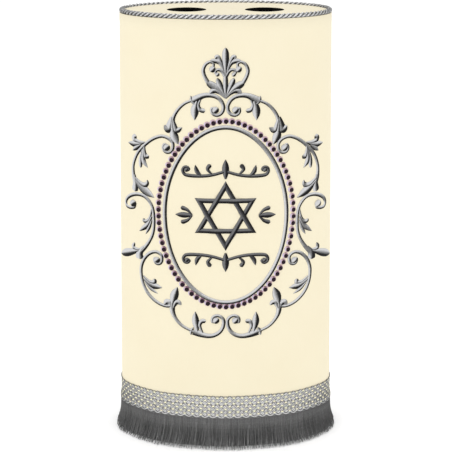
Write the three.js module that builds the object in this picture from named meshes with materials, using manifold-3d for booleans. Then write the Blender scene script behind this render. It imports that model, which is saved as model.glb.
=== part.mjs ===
// A fitted mantle for a Torah scroll: an oval tube of cream cloth, open at the hem, closed above by a
// stiff cloth-covered panel with two round holes for the scroll's staves. A twisted silver cord runs
// round the top edge, a silver lattice braid and a cut fringe run round the hem, and raised satin-stitch
// scrollwork surrounds an oval medallion on the front.
// Millimetres. X runs across the front, -Y is the front, Z is up, and the hem stands on Z = 0.
import * as THREE from "three";
import { mergeVertices } from "three/addons/utils/BufferGeometryUtils.js";
import Module from "manifold-3d";

const wasm = await Module();
wasm.setup();

// Driving dimensions
const HEIGHT = 745; // hem to the top face of the panel
const TOP_HALF_WIDTH = 180;
const TOP_HALF_DEPTH = 114;
const HEM_FLARE = 1.045; // hem size over top size
const CLOTH = 2.5; // faced and interlined cloth
const SEAM_GAP = 0.3; // between pieces that are sewn together
const HOLE_DIAMETER = 67;
const HOLE_SPACING = 132.4;
const LEDGE = 2; // the panel's seam allowance, which carries the cord
const BOARD = 4; // the part of the panel that stands inside the cord
const CORD_RADIUS = 3.5;

// The oval outline of the cloth
const flareAt = (z) => 1 + (HEM_FLARE - 1) * (1 - z / HEIGHT);
const DRAPE_WAVES = 10;
const DRAPE_DEPTH = 0.8; // at the hem, fading to nothing at the panel
const drapeAt = (angle, z) =>
  DRAPE_DEPTH * Math.max(0, 1 - z / HEIGHT) ** 1.5 * Math.cos(DRAPE_WAVES * angle);

// A point on the cloth: angle from the front centre towards +X, height, and distance out of the cloth.
function onOval(angle, z, out = 0) {
  const halfWidth = TOP_HALF_WIDTH * flareAt(z);
  const halfDepth = TOP_HALF_DEPTH * flareAt(z);
  const normal = new THREE.Vector2(Math.sin(angle) / halfWidth, -Math.cos(angle) / halfDepth).normalize();
  const away = out + drapeAt(angle, z);
  return new THREE.Vector3(
    halfWidth * Math.sin(angle) + away * normal.x,
    -halfDepth * Math.cos(angle) + away * normal.y,
    z,
  );
}

// Arc length along the top outline from the front centre, tabled once and read both ways.
const ARC_STEPS = 720;
const arcTable = [0];
for (let i = 1; i <= ARC_STEPS; i++) {
  const middle = ((i - 0.5) / ARC_STEPS) * Math.PI;
  const speed = Math.hypot(TOP_HALF_WIDTH * Math.cos(middle), TOP_HALF_DEPTH * Math.sin(middle));
  arcTable.push(arcTable[i - 1] + (speed * Math.PI) / ARC_STEPS);
}
const HALF_ROUND = arcTable[ARC_STEPS];
function angleAtArc(arc) {
  const length = Math.min(Math.abs(arc), HALF_ROUND - 1e-9);
  let i = 1;
  while (arcTable[i] < length) i++;
  const part = (length - arcTable[i - 1]) / (arcTable[i] - arcTable[i - 1]);
  return (Math.sign(arc) * (i - 1 + part) * Math.PI) / ARC_STEPS;
}
const COLUMNS = 68; // facets round the cloth, the panel, the heading and the braid
// Column i of n equal steps round the oval, from the back by way of +X and the front.
const angleOfColumn = (i, n) => angleAtArc((1 - (2 * i) / n) * HALF_ROUND);

// A skin over a row of loops, each a list of points that turns anticlockwise as seen against the row.
function skin(loops, closed) {
  const size = loops[0].length;
  const index = [];
  const rows = closed ? loops.length : loops.length - 1;
  for (let i = 0; i < rows; i++) {
    const next = (i + 1) % loops.length;
    for (let j = 0; j < size; j++) {
      const k = (j + 1) % size;
      const [a, b, c, d] = [i * size + j, i * size + k, next * size + k, next * size + j];
      index.push(a, b, c, a, c, d);
    }
  }
  if (!closed) {
    const last = (loops.length - 1) * size;
    for (let j = 1; j < size - 1; j++) {
      index.push(0, j + 1, j);
      index.push(last, last + j, last + j + 1);
    }
  }
  const geometry = new THREE.BufferGeometry().setFromPoints(loops.flat());
  geometry.setIndex(index);
  return geometry;
}

// A closed band round the whole oval. profile(angle, column) gives [out, z] pairs, anticlockwise with out
// to the right and z up.
function bandRound(columns, profile) {
  const loops = [];
  for (let i = 0; i < columns; i++) {
    const angle = angleOfColumn(i, columns);
    loops.push(profile(angle, i).map(([out, z]) => onOval(angle, z, out)));
  }
  return skin(loops, true);
}

// Joining and cutting of closed solids
function toSolid(geometry) {
  const bare = geometry.clone();
  bare.deleteAttribute("normal");
  bare.deleteAttribute("uv");
  const merged = mergeVertices(bare, 1e-5);
  return new wasm.Manifold(
    new wasm.Mesh({
      numProp: 3,
      vertProperties: new Float32Array(merged.attributes.position.array),
      triVerts: new Uint32Array(merged.index.array),
    }),
  );
}
function toGeometry(solid) {
  const mesh = solid.getMesh();
  const geometry = new THREE.BufferGeometry();
  geometry.setAttribute("position", new THREE.BufferAttribute(new Float32Array(mesh.vertProperties), 3));
  geometry.setIndex(new THREE.BufferAttribute(new Uint32Array(mesh.triVerts), 1));
  return geometry;
}
const fuse = (geometries) => toGeometry(geometries.map(toSolid).reduce((whole, piece) => whole.add(piece)));

const mantle = new THREE.Group();
function addPiece(name, geometry, material) {
  const mesh = new THREE.Mesh(geometry, material);
  mesh.name = name;
  mantle.add(mesh);
}
const finish = (color, roughness, metalness = 0) =>
  new THREE.MeshStandardMaterial({ color, roughness, metalness });
const CREAM_CLOTH = finish(0xf7edcf, 0.8);
const SILVER_THREAD = finish(0x9a9a9c, 0.45, 0.5);
const SILVER_BRAID = finish(0xb6b6b4, 0.4, 0.5);
const DARK_THREAD = finish(0x545456, 0.5, 0.3);
const FRINGE_THREAD = finish(0x4d4d4e, 0.65);

// Cloth wall: one tube of cloth, cut straight at the hem it stands on.
const WALL_TOP = HEIGHT - BOARD - LEDGE - SEAM_GAP;
const WALL_LEVELS = [0, 0.2, 0.5, 1].map((share) => share * WALL_TOP);
const wallOuter = WALL_LEVELS.map((z) => [0, z]);
const wallInner = WALL_LEVELS.map((z) => [-CLOTH, z]).reverse();
addPiece("cloth_wall", bandRound(COLUMNS, () => [...wallOuter, ...wallInner]), CREAM_CLOTH);

// Top panel: a stiff oval board under cloth. Its thin edge lies on the wall, and the cord lies on the edge.
const CORD_INSET = CORD_RADIUS + 0.1; // keeps the cord flush with the wall
const BOARD_INSET = CORD_INSET + CORD_RADIUS + SEAM_GAP;
const HOLE_SIDES = 28;
function ovalSlab(inset, bottom, top) {
  const shape = new THREE.Shape();
  for (let i = 0; i < COLUMNS; i++) {
    const { x, y } = onOval(angleOfColumn(i, COLUMNS), HEIGHT, -inset);
    if (i === 0) shape.moveTo(x, y);
    else shape.lineTo(x, y);
  }
  const slab = new THREE.ExtrudeGeometry(shape, { depth: top - bottom, bevelEnabled: false });
  return toSolid(slab.translate(0, 0, bottom));
}
const PANEL_BOTTOM = HEIGHT - BOARD - LEDGE;
const LEDGE_TOP = PANEL_BOTTOM + LEDGE;
let panel = ovalSlab(0, PANEL_BOTTOM, LEDGE_TOP).add(ovalSlab(BOARD_INSET, PANEL_BOTTOM, HEIGHT));
for (const side of [-1, 1]) {
  const drill = new THREE.CylinderGeometry(HOLE_DIAMETER / 2, HOLE_DIAMETER / 2, 6 * BOARD, HOLE_SIDES);
  drill.rotateX(Math.PI / 2).translate((side * HOLE_SPACING) / 2, 0, PANEL_BOTTOM);
  panel = panel.subtract(toSolid(drill));
}
addPiece("top_panel", toGeometry(panel), CREAM_CLOTH);

// Twisted cord round the top edge: three plies, so the section is a three-lobed star that turns as it runs.
const CORD_PLIES = 3;
const CORD_RIDGES = 78; // ply crossings round the whole edge
const STEPS_PER_RIDGE = 2;
const CORD_VALLEY = 0.62; // valley radius over ply radius
const cordHeight = LEDGE_TOP + SEAM_GAP + CORD_RADIUS;
const cordColumns = CORD_RIDGES * STEPS_PER_RIDGE;
function cordSection(column) {
  const twist = ((column / STEPS_PER_RIDGE) * 2 * Math.PI) / CORD_PLIES;
  const section = [];
  for (let j = 0; j < 2 * CORD_PLIES; j++) {
    const radius = j % 2 === 0 ? CORD_RADIUS : CORD_RADIUS * CORD_VALLEY;
    const turn = twist + (j * Math.PI) / CORD_PLIES;
    section.push([radius * Math.cos(turn) - CORD_INSET, radius * Math.sin(turn) + cordHeight]);
  }
  return section;
}
addPiece("edge_cord", bandRound(cordColumns, (angle, column) => cordSection(column)), SILVER_THREAD);

// Fringe: a narrow heading tape behind the braid's lower row, with cut locks hanging from it.
const BRAID_BOTTOM = 54;
const BRAID_TOP = 92;
const HEADING = { bottom: 50, top: 60, thick: 0.8 };
const LOCKS = 102;
// Each lock from its root to its tip, splaying out of the wall. uneven is how much of the cut's waviness
// each row takes.
const LOCK_ROWS = [
  { z: 51.5, out: 0.4, width: 7, thick: 0.3, uneven: 0 },
  { z: 25, out: 2.2, width: 8.8, thick: 1.8, uneven: 0.6 },
  { z: 2.2, out: 6.5, width: 7, thick: 1.8, uneven: 1 },
];
const headingBand = bandRound(COLUMNS, () => [
  [SEAM_GAP + HEADING.thick, HEADING.bottom],
  [SEAM_GAP + HEADING.thick, HEADING.top],
  [SEAM_GAP, HEADING.top],
  [SEAM_GAP, HEADING.bottom],
]);
// Small waves in millimetres, the same on all four quarters of the oval
const waviness = (angle) => 0.6 * Math.cos(26 * angle) + 0.4 * Math.cos(44 * angle);
function lock(i) {
  const angle = angleOfColumn(i + 0.5, LOCKS);
  const lockPitch = (2 * HALF_ROUND) / LOCKS;
  const anglePerLength = (angleOfColumn(i, LOCKS) - angleOfColumn(i + 1, LOCKS)) / lockPitch;
  const loops = LOCK_ROWS.map(({ z, out, width, thick, uneven }) => {
    const half = (width / 2) * anglePerLength;
    const [height, away] = [z - uneven * waviness(angle), out + uneven * waviness(angle)];
    return [
      onOval(angle - half, height, away),
      onOval(angle + half, height, away),
      onOval(angle, height, away + thick),
    ];
  });
  return skin(loops, false);
}
const locks = Array.from({ length: LOCKS }, (_, i) => lock(i));
addPiece("fringe", fuse([headingBand, ...locks]), FRINGE_THREAD);

// Lattice braid: a flat tape over the wall's lower edge and the fringe's heading. The crossing threads are
// raised as a diamond net, at twice the real net's spacing.
const BRAID_ROWS = 3;
const BRAID_THICK = 1.9;
const NET_DEPTH = 0.9;
const BRAID_BORDER = 3;
const BRAID_STEP_LOW = HEADING.top + 1; // below this the braid steps out over the heading
const BRAID_STEP_HIGH = HEADING.top + 4;
const stepOut = 2 * SEAM_GAP + HEADING.thick;
const braidBack = (z) =>
  THREE.MathUtils.mapLinear(
    THREE.MathUtils.clamp(z, BRAID_STEP_LOW, BRAID_STEP_HIGH),
    BRAID_STEP_HIGH,
    BRAID_STEP_LOW,
    SEAM_GAP,
    stepOut,
  );
function braidSection(angle, column) {
  const netHeight = BRAID_TOP - BRAID_BOTTOM - 2 * BRAID_BORDER;
  const front = [[braidBack(BRAID_BOTTOM) + BRAID_THICK, BRAID_BOTTOM]];
  for (let row = 0; row < 2 * BRAID_ROWS - 1; row++) {
    const z = BRAID_BOTTOM + BRAID_BORDER + (netHeight * row) / (2 * BRAID_ROWS - 2);
    const pit = (row + column) % 2 === 0 ? NET_DEPTH : 0;
    front.push([braidBack(z) + BRAID_THICK - pit, z]);
  }
  front.push([braidBack(BRAID_TOP) + BRAID_THICK, BRAID_TOP]);
  const back = [BRAID_TOP, BRAID_STEP_HIGH, BRAID_STEP_LOW, BRAID_BOTTOM].map((z) => [braidBack(z), z]);
  return [...front, ...back];
}
addPiece("lattice_braid", bandRound(COLUMNS, braidSection), SILVER_BRAID);

// Raised embroidery, laid out flat on the cloth: s runs along the cloth from the front centre, z is height.
const onFront = (s, z, out) => onOval(angleAtArc(s / flareAt(z)), z, SEAM_GAP + out);
const RELIEF = 2.2; // height of the padded stems
const LEAF_RELIEF = 1.9;
const CREST_SLOPE = 1.1; // most that a ridge rises for its half width

// A padded satin-stitch band: a three-sided ridge along a flat path of THREE.Vector2 (s, z) points.
// widths is a list of [share of the path, width] pairs. side is 1 for the right half and -1 for the left.
function ridge(path, widths, height, side = 1, closed = false) {
  const count = path.length;
  const widthAt = (share) => {
    let i = 1;
    while (i < widths.length - 1 && widths[i][0] < share) i++;
    const [[t0, w0], [t1, w1]] = [widths[i - 1], widths[i]];
    return THREE.MathUtils.mapLinear(THREE.MathUtils.clamp(share, t0, t1), t0, t1, w0, w1);
  };
  const loops = path.map((point, i) => {
    const before = path[closed ? (i - 1 + count) % count : Math.max(i - 1, 0)];
    const after = path[closed ? (i + 1) % count : Math.min(i + 1, count - 1)];
    const along = after.clone().sub(before).normalize();
    const half = widthAt(i / (count - 1)) / 2;
    const edge = (sign, out) =>
      onFront(side * (point.x - sign * half * along.y), point.y + sign * half * along.x, out);
    const loop = [edge(1, 0), edge(0, Math.min(height, half * CREST_SLOPE)), edge(-1, 0)];
    return side > 0 ? loop : loop.reverse();
  });
  return skin(loops, closed);
}
const toPoint = ([s, z]) => new THREE.Vector2(s, z);
const spline = (points, pieces) => new THREE.SplineCurve(points.map(toPoint)).getSpacedPoints(pieces);

// Leaf outlines, as [share of the length, share of the width]
const LEAF_STEPS = 4;
const LEAF_SHAPES = {
  pointed: [[0, 0.3], [0.25, 0.75], [0.5, 1], [0.75, 0.72], [1, 0.1]],
  hooked: [[0, 0.35], [0.25, 0.6], [0.5, 0.85], [0.75, 1], [1, 0.45]],
};
// A leaf runs from its foot, through its shoulder, to its tip.
function leaf([shape, width, ...line], side = 1) {
  const widths = LEAF_SHAPES[shape].map(([share, part]) => [share, part * width]);
  return ridge(spline(line, LEAF_STEPS), widths, LEAF_RELIEF, side);
}

// The round boss at the eye of a scroll
const BOSS_SIDES = 8;
const BOSS_CROWN = 0.55; // radius of its flat top over its foot
function boss([s, z], radius, side = 1) {
  const ring = (share, out) =>
    Array.from({ length: BOSS_SIDES }, (_, i) => {
      const turn = (i * 2 * Math.PI) / BOSS_SIDES;
      return onFront(side * s + share * radius * Math.cos(turn), z + share * radius * Math.sin(turn), out);
    });
  return skin([ring(1, 0), ring(BOSS_CROWN, RELIEF)], false);
}

// A stem opens out of its boss as a spiral and runs on through its bow points. Columns: eye centre and boss
// radius, the spiral's start angle and turn in degrees, its first and last radius, the bow, and the widths.
const SPIRAL_STEP = 36; // degrees between the spiral's points
const SPIRAL_GROWTH = 1.6; // above 1 the spiral opens late
const STEM_SPACING = 9; // millimetres between the steps of a stem
function stem({ eye, eyeRadius, start, turn, from, to, bow, widths }, side) {
  const steps = Math.ceil(Math.abs(turn) / SPIRAL_STEP);
  const points = [eye];
  for (let i = 0; i <= steps; i++) {
    const angle = THREE.MathUtils.degToRad(start + (turn * i) / steps);
    const radius = from * (to / from) ** ((i / steps) ** SPIRAL_GROWTH);
    points.push([eye[0] + radius * Math.cos(angle), eye[1] + radius * Math.sin(angle)]);
  }
  points.push(...bow);
  const length = new THREE.SplineCurve(points.map(toPoint)).getLength();
  const line = spline(points, Math.round(length / STEM_SPACING));
  return [ridge(line, widths, RELIEF, side), boss(eye, eyeRadius, side)];
}

// The scrolls of the right half, from the top down; the left half mirrors them. Each leaf is its outline,
// its width, and its foot, shoulder and tip.
const SCROLLS = {
  crown: {
    stems: [
      {
        eye: [17, 587.5], eyeRadius: 4.8, start: 30, turn: -210, from: 6.5, to: 13.5,
        bow: [[4, 597], [9, 607], [17, 613], [28, 615], [38, 613.5], [48, 609], [56, 604.5]],
        widths: [[0, 3.6], [0.3, 4.6], [0.6, 5.5], [0.8, 7], [1, 11]],
      },
    ],
    shoots: [
      {
        line: [[54, 607], [69, 601], [80, 591.5], [88, 579.5], [91.5, 567], [91, 556]],
        widths: [[0, 3.5], [0.7, 5], [1, 10]],
      },
    ],
    leaves: [
      ["pointed", 5, [51, 599], [57.5, 605], [60, 614]],
      ["pointed", 11, [48, 606], [51.5, 591], [52, 574]],
      ["hooked", 5, [44, 608], [45, 596], [35, 588]],
      ["hooked", 6, [88, 562], [83, 555], [76, 560]],
      ["hooked", 6, [94, 562], [99, 555], [106, 560]],
      ["pointed", 11, [91, 559], [89, 546], [82, 531]],
    ],
  },
  shoulder: {
    stems: [
      {
        eye: [101.5, 525.5], eyeRadius: 4.8, start: 60, turn: -240, from: 6.5, to: 11.5,
        bow: [
          [92, 534], [99, 541], [111, 544], [124, 540], [136, 533], [149, 522.5], [160, 511],
          [168, 498], [172.5, 485], [172, 471], [168, 461],
        ],
        widths: [[0, 3.6], [0.3, 4.8], [0.6, 4.8], [0.85, 5], [1, 9]],
      },
    ],
    shoots: [],
    leaves: [
      ["hooked", 6.5, [145, 529], [165, 529], [163, 541]],
      ["pointed", 7.5, [147, 528], [168, 523.5], [188, 525]],
      ["hooked", 6, [151, 525], [165, 519], [176, 512]],
      ["hooked", 5.5, [143, 527], [146, 512], [136, 506]],
      ["pointed", 6.5, [148, 522], [148, 504], [138, 486]],
      ["pointed", 5, [152, 518], [157, 502], [155, 485]],
      ["hooked", 7, [167, 465], [150, 457], [140, 467]],
      ["hooked", 6.5, [172, 466], [174, 456], [169, 448]],
      ["pointed", 12, [167, 462], [149, 451], [127, 439]],
    ],
  },
  flank: {
    stems: [
      {
        eye: [176, 419.5], eyeRadius: 4.8, start: 90, turn: 270, from: 7, to: 18,
        bow: [
          [191, 431], [180, 438], [165, 440], [149, 437.5], [137, 430], [129.5, 418], [127, 405],
          [126.5, 391], [129, 377], [134.5, 364], [143, 352], [156, 340],
        ],
        widths: [[0, 3.6], [0.3, 5.5], [0.6, 5], [0.85, 6], [1, 12]],
      },
    ],
    shoots: [],
    leaves: [
      ["hooked", 5, [129, 413], [138, 396], [149, 398]],
      ["pointed", 8, [129, 402], [142, 388], [157, 376]],
      ["pointed", 6, [130, 396], [136, 382], [144, 371]],
      ["hooked", 7, [154, 343], [159, 335], [155, 326]],
      ["hooked", 7, [158, 341], [170, 341], [170, 352]],
      ["pointed", 13, [155, 341], [183, 333], [212, 326]],
    ],
  },
  foot: {
    stems: [
      {
        eye: [121.5, 330], eyeRadius: 4.8, start: 30, turn: -210, from: 6.5, to: 10.5,
        bow: [
          [113, 339], [123, 344], [136, 340], [148, 328.5], [155, 314], [156, 299], [152.5, 284],
          [144, 270.5], [131, 259.5], [117, 252.5], [104, 250], [94, 252],
        ],
        widths: [[0, 3.6], [0.3, 4.8], [0.7, 4.8], [1, 4]],
      },
      {
        eye: [17, 229.5], eyeRadius: 4.8, start: -30, turn: 210, from: 6.5, to: 13,
        bow: [[5, 218], [11, 208], [21, 202], [32, 200.5], [44, 203], [56, 207.5]],
        widths: [[0, 3.6], [0.3, 4.6], [0.6, 5.5], [0.8, 7], [1, 11]],
      },
    ],
    shoots: [
      {
        line: [[54, 206], [74, 215], [86, 226.5], [93, 240], [94, 256]],
        widths: [[0, 3.5], [0.6, 5], [1, 10]],
      },
    ],
    leaves: [
      ["hooked", 5.5, [153, 297], [139, 287], [127, 294]],
      ["pointed", 7, [153, 294], [130, 286], [112, 281]],
      ["pointed", 5, [152, 288], [136, 277], [120, 269]],
      ["hooked", 6.5, [91, 250], [86, 260], [77, 255]],
      ["hooked", 6.5, [97, 250], [101, 260], [109, 256]],
      ["pointed", 11, [94, 254], [90, 270], [84, 286]],
      ["pointed", 5, [61, 201], [60, 208], [56, 215]],
      ["pointed", 10, [49, 208], [52.5, 226], [53, 243]],
      ["hooked", 5.5, [40, 206], [45, 221], [35, 227]],
    ],
  },
};
for (const [suffix, side] of [["right", 1], ["left", -1]]) {
  for (const [name, { stems, shoots, leaves }] of Object.entries(SCROLLS)) {
    const parts = [
      ...stems.flatMap((row) => stem(row, side)),
      ...shoots.map(({ line, widths }) => ridge(spline(line, 8), widths, RELIEF, side)),
      ...leaves.map((row) => leaf(row, side)),
    ];
    addPiece(`scroll_${name}_${suffix}`, fuse(parts), SILVER_THREAD);
  }
}

// Crest: a palmette over the medallion, its two halves alike.
const CREST_LEAVES = [
  ["hooked", 6.5, [2, 656], [7, 672], [16, 681]],
  ["hooked", 6.5, [2, 652], [10, 668], [25, 672]],
  ["pointed", 6.5, [1, 613], [8, 630], [14, 645]],
  ["hooked", 10, [1, 612], [14, 627], [31, 638]],
  ["hooked", 5, [1, 613], [12, 625], [25, 623]],
];
const CREST_VOLUTES = [
  {
    eye: [21.5, 659],
    radius: 5.4,
    line: [[29, 636], [36, 647], [38.5, 658], [34, 667], [26, 671], [20, 668], [20, 662]],
  },
  {
    eye: [13.5, 650.5],
    radius: 3.6,
    line: [[1, 648], [5, 655], [11, 658.5], [16.5, 656], [16, 652]],
  },
];
const crestParts = [
  leaf(["pointed", 8.5, [0, 609], [0, 633], [0, 660]]),
  leaf(["pointed", 11.5, [0, 648], [0, 674], [0, 695]]),
];
for (const side of [1, -1]) {
  crestParts.push(...CREST_LEAVES.map((row) => leaf(row, side)));
  for (const { eye, radius, line } of CREST_VOLUTES) {
    crestParts.push(ridge(spline(line, 8), [[0, 5.5], [0.5, 4.6], [1, 3.6]], RELIEF, side));
    crestParts.push(boss(eye, radius, side));
  }
}
addPiece("crest", fuse(crestParts), SILVER_THREAD);

// Medallion ring: a padded oval band round the middle of the front.
const MEDALLION = { middle: 411.5, halfWidth: 106.5, halfHeight: 150.5, width: 6.4 };
const RING_STEPS = 52;
const ellipse = new THREE.EllipseCurve(0, MEDALLION.middle, MEDALLION.halfWidth, MEDALLION.halfHeight);
const ringPath = ellipse.getSpacedPoints(RING_STEPS).slice(0, RING_STEPS);
const ringWidths = [[0, MEDALLION.width], [1, MEDALLION.width]];
addPiece("medallion_ring", ridge(ringPath, ringWidths, RELIEF, 1, true), SILVER_THREAD);

// Star: two interlaced triangles of dark satin stitch in the middle of the medallion.
const STAR = { radius: 52, width: 8.5 };
const starTip = (degrees) => {
  const angle = THREE.MathUtils.degToRad(degrees);
  return [STAR.radius * Math.cos(angle), MEDALLION.middle + STAR.radius * Math.sin(angle)];
};
const starParts = [];
for (const first of [90, 210, 330, 270, 30, 150]) {
  const line = spline([starTip(first), starTip(first + 120)], 4);
  starParts.push(ridge(line, [[0, STAR.width], [1, STAR.width]], LEAF_RELIEF));
}
addPiece("centre_star", fuse(starParts), DARK_THREAD);

// Dividers: a bud between two long scrolls, above the star and turned over below it. Heights are measured
// from the divider's own middle.
const DIVIDER = {
  offset: 76,
  stem: {
    eye: [66, 2], eyeRadius: 3.8, start: 180, turn: -270, from: 4.5, to: 9,
    bow: [[52, -8], [36, -7.5], [20, -5], [3, 0]],
    widths: [[0, 3.2], [0.4, 5], [1, 4]],
  },
  leaves: [
    ["pointed", 9.5, [0, -12], [0, 4], [0, 21]],
    ["hooked", 6, [22, -5], [30, 4], [25, 12]],
    ["pointed", 6, [40, -8], [48, 0], [51, 11]],
  ],
};
const placed = ([s, z], middle, up) => [s, middle + up * z];
for (const [name, up] of [["upper", 1], ["lower", -1]]) {
  const middle = MEDALLION.middle + up * DIVIDER.offset;
  const { eye, start, turn, bow } = DIVIDER.stem;
  const row = {
    ...DIVIDER.stem,
    eye: placed(eye, middle, up),
    start: up * start,
    turn: up * turn,
    bow: bow.map((point) => placed(point, middle, up)),
  };
  const parts = [1, -1].flatMap((side) => [
    ...stem(row, side),
    ...DIVIDER.leaves.map(([shape, width, ...line]) =>
      leaf([shape, width, ...line.map((point) => placed(point, middle, up))], side),
    ),
  ]);
  addPiece(`divider_${name}`, fuse(parts), DARK_THREAD);
}

// Sprigs: three leaves on each side of the star.
const SPRIG_LEAVES = [
  ["pointed", 8, [56, 0], [70, 0], [86, 0]],
  ["hooked", 6, [57, 1], [65, 9], [76, 13]],
  ["hooked", 6, [57, -1], [65, -9], [76, -13]],
];
for (const [suffix, side] of [["right", 1], ["left", -1]]) {
  const parts = SPRIG_LEAVES.map(([shape, width, ...line]) =>
    leaf([shape, width, ...line.map((point) => placed(point, MEDALLION.middle, 1))], side),
  );
  addPiece(`sprig_${suffix}`, fuse(parts), DARK_THREAD);
}

export default mantle;
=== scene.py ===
import math
import random

import bmesh
import bpy
import numpy as np
from mathutils import Matrix, Vector


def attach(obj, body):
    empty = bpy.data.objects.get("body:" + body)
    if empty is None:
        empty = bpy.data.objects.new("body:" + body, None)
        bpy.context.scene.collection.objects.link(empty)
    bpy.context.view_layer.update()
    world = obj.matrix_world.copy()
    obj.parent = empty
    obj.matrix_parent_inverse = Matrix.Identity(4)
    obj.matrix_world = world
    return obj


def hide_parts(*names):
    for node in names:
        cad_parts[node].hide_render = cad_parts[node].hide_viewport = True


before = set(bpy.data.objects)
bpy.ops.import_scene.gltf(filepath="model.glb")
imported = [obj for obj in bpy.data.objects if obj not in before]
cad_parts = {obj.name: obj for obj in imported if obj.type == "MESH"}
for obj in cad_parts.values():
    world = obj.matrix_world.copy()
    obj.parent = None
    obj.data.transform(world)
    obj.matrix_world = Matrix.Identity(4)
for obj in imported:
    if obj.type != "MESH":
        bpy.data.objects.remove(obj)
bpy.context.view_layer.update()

# Cloth wall: one length of cream satin on a firm interlining, cut as an oval tube that widens a little
# towards the hem. It is seamed at the centre back, pressed flat, and its hem is turned up inside.
# Lengths are in millimetres until a point is laid on the oval, which gives metres.
HEIGHT = 745.0
TOP_HALF_WIDTH, TOP_HALF_DEPTH = 180.0, 114.0
HEM_FLARE = 1.045
WALL_TOP = 740.9
CLOTH = 1.9
HEM_DEPTH = 30.0  # of cloth turned up inside
SEAM_HALF_WIDTH, SEAM_DEPTH = 1.6, 0.8  # of the pressed groove at the centre back
HEM_WAVES, HEM_WAVE = 10, 0.8  # how many times, and how far, the loose foot swings out and in

half_turn = np.linspace(0, math.pi, 721)
middles = (half_turn[1:] + half_turn[:-1]) / 2
arc_steps = np.hypot(TOP_HALF_WIDTH * np.cos(middles), TOP_HALF_DEPTH * np.sin(middles)) * math.pi / 720
arcs = np.concatenate([[0], np.cumsum(arc_steps)])
HALF_ROUND = float(arcs[-1])


def flare(z):
    return 1 + (HEM_FLARE - 1) * (1 - z / HEIGHT)


def on_oval(arc, z, out=0.0):
    """A point in metres: arc is the length along the top outline from the front centre towards +X, and
    runs on round past the centre back."""
    arc = (arc + HALF_ROUND) % (2 * HALF_ROUND) - HALF_ROUND
    angle = math.copysign(float(np.interp(abs(arc), arcs, half_turn)), arc)
    half_width, half_depth = TOP_HALF_WIDTH * flare(z), TOP_HALF_DEPTH * flare(z)
    across, forward = math.sin(angle) / half_width, -math.cos(angle) / half_depth
    drape = HEM_WAVE * max(0.0, 1 - z / HEIGHT) ** 1.5 * math.cos(HEM_WAVES * angle)
    away = (out + drape) / math.hypot(across, forward)
    return Vector((half_width * math.sin(angle) + away * across,
                   -half_depth * math.cos(angle) + away * forward, z)) / 1000


def new_work():
    """An empty mesh under way, with a lay map in millimetres and a shade for each point."""
    work = bmesh.new()
    work.loops.layers.uv.new("lay")
    work.verts.layers.float.new("shade")
    return work


def shaped_sheet(work, columns, rows, place):
    """A grid of cells whose corner (i, j) goes where place says: its point, its lay and its shade."""
    lay, shade = work.loops.layers.uv["lay"], work.verts.layers.float["shade"]
    corners = bmesh.ops.create_grid(work, x_segments=columns, y_segments=rows, size=0.5)["verts"]
    lays = {}
    for corner in corners:
        i, j = round((corner.co.x + 0.5) * columns), round((corner.co.y + 0.5) * rows)
        corner.co, lays[corner], corner[shade] = place(i, j)
    for corner in corners:
        for loop in corner.link_loops:
            loop[lay].uv = lays[corner]


def close_up(work, gap=0.002):
    """Welds the seams, closes any open end and turns all faces outwards. The gap is in the unit that the
    work is in."""
    bmesh.ops.remove_doubles(work, verts=work.verts, dist=gap)
    bmesh.ops.holes_fill(work, edges=[edge for edge in work.edges if edge.is_boundary], sides=0)
    bmesh.ops.recalc_face_normals(work, faces=work.faces)


def lay_round(work, share_of_flare=False):
    """Bends flat work onto the wall: x along the top outline, or along the cloth at its own height where
    share_of_flare is set, y up and z out of it."""
    for corner in work.verts:
        along, z, out = corner.co
        corner.co = on_oval(along / flare(z) if share_of_flare else along, z, out)


def made_piece(name, work, paint, smooth=True):
    mesh = bpy.data.meshes.new(name)
    work.to_mesh(mesh)
    work.free()
    mesh.polygons.foreach_set("use_smooth", [smooth] * len(mesh.polygons))
    mesh.materials.append(paint.material)
    piece = bpy.data.objects.new(name, mesh)
    bpy.context.scene.collection.objects.link(piece)
    return piece


class Socket:
    """A shader output that takes part in ordinary arithmetic."""

    def __init__(self, paint, output):
        self.paint, self.output = paint, output

    def math(self, operation, *values):
        return self.paint.node("ShaderNodeMath", {"operation": operation}, dict(enumerate(values)))

    def __add__(self, other):
        return self.math("ADD", self, other)

    def __sub__(self, other):
        return self.math("SUBTRACT", self, other)

    def __rsub__(self, other):
        return self.math("SUBTRACT", other, self)

    def __mul__(self, other):
        return self.math("MULTIPLY", self, other)

    __radd__, __rmul__ = __add__, __mul__

    def sine(self):
        return self.math("SINE", self)

    def limited(self):
        return self.math("MINIMUM", self.math("MAXIMUM", self, 0.0), 1.0)


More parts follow.
